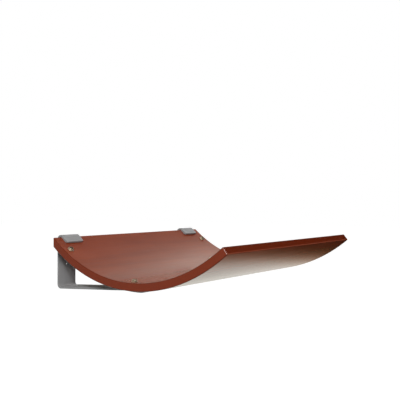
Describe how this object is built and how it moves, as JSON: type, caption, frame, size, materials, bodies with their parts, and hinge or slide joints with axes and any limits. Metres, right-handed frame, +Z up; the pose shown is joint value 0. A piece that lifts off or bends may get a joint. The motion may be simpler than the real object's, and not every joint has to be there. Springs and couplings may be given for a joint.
{
  "type": "cat wall hammock shelf",
  "caption": "Wall shelf for a cat: a shallow trough of bent, red brown stained plywood that hooks into and bolts onto bent grey steel strip brackets.",
  "frame": {"origin": "middle of the pattern of wall screw holes, on the wall plane, which is the brackets' back face", "axes": "+X along the wall to the right as seen from the room, -Y out from the wall towards the room, +Z up"},
  "size_m": [0.455, 0.418, 0.1054],
  "materials": {
    "stained_plywood": "red brown stain under clear gloss lacquer",
    "grey_steel": "mid grey powder coat, satin",
    "bolt_steel": "zinc plated",
    "insert_brass": "turned",
    "stud_brass": "antique nickel plated brass",
    "screw_steel": "plated to match the stud"
  },
  "bodies": {
    "root": {"board": "stained_plywood", "left_bracket": "grey_steel", "right_bracket": "grey_steel", "left_bracket_bolt": "bolt_steel", "right_bracket_bolt": "bolt_steel", "left_threaded_insert": "insert_brass", "right_threaded_insert": "insert_brass", "left_wall_stud": "stud_brass", "left_centre_stud": "stud_brass", "left_front_stud": "stud_brass", "right_wall_stud": "stud_brass", "right_centre_stud": "stud_brass", "right_front_stud": "stud_brass", "left_wall_stud_screw": "screw_steel", "left_centre_stud_screw": "screw_steel", "left_front_stud_screw": "screw_steel", "right_wall_stud_screw": "screw_steel", "right_centre_stud_screw": "screw_steel", "right_front_stud_screw": "screw_steel"}
  },
  "joints": []
}
